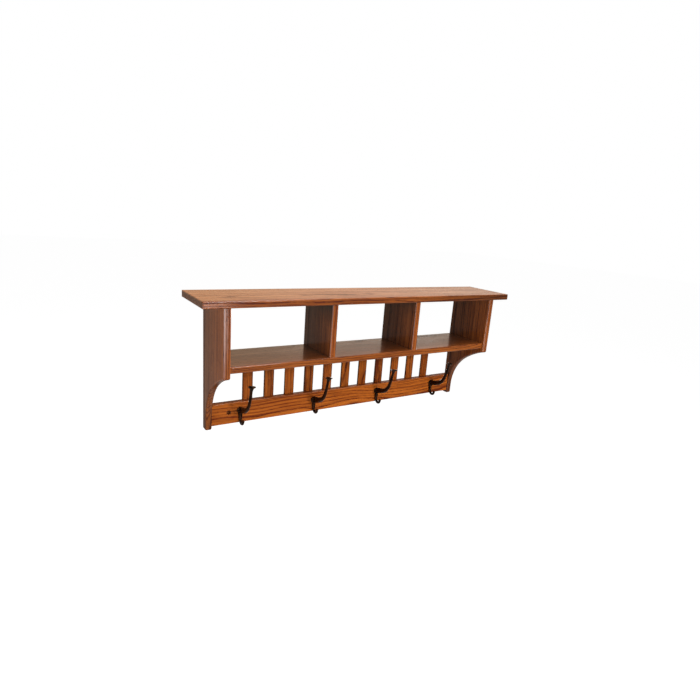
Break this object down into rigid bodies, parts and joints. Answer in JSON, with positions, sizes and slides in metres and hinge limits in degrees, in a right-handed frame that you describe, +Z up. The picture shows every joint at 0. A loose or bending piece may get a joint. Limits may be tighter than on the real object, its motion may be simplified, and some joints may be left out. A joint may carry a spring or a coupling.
{
  "type": "wall shelf with cubbies and coat hooks",
  "caption": "Wall-hung oak shelf with open cubbies under a top board, a row of slats, and a rail of cast two-prong coat hooks between curved side brackets.",
  "frame": {"origin": "on the wall plane, midway between the two wall screw holes in the hook rail", "axes": "+X along the wall to the right as seen from the room, +Y into the wall, +Z up; the front faces -Y"},
  "size_m": [1.0668, 0.184, 0.4064],
  "materials": {
    "stained_oak": "red-brown stain under satin varnish, open oak grain",
    "bronzed_iron": "dark oil-rubbed bronze coat, satin",
    "bronzed_steel": "dark bronze coat to match the hooks, satin",
    "bare_beech": "bare turned beech",
    "bright_steel": "plain wire"
  },
  "bodies": {
    "root": {"top_board": "stained_oak", "side_left": "stained_oak", "side_right": "stained_oak", "cubby_shelf": "stained_oak", "divider_left": "stained_oak", "divider_right": "stained_oak", "hook_rail": "stained_oak", "slat_01": "stained_oak", "slat_02": "stained_oak", "slat_03": "stained_oak", "slat_04": "stained_oak", "slat_05": "stained_oak", "slat_06": "stained_oak", "slat_07": "stained_oak", "slat_08": "stained_oak", "slat_09": "stained_oak", "slat_10": "stained_oak", "slat_11": "stained_oak", "hook_1": "bronzed_iron", "hook_2": "bronzed_iron", "hook_3": "bronzed_iron", "hook_4": "bronzed_iron", "hook_screws": "bronzed_steel", "rail_dowels": "bare_beech", "slat_brads": "bright_steel"}
  },
  "joints": []
}
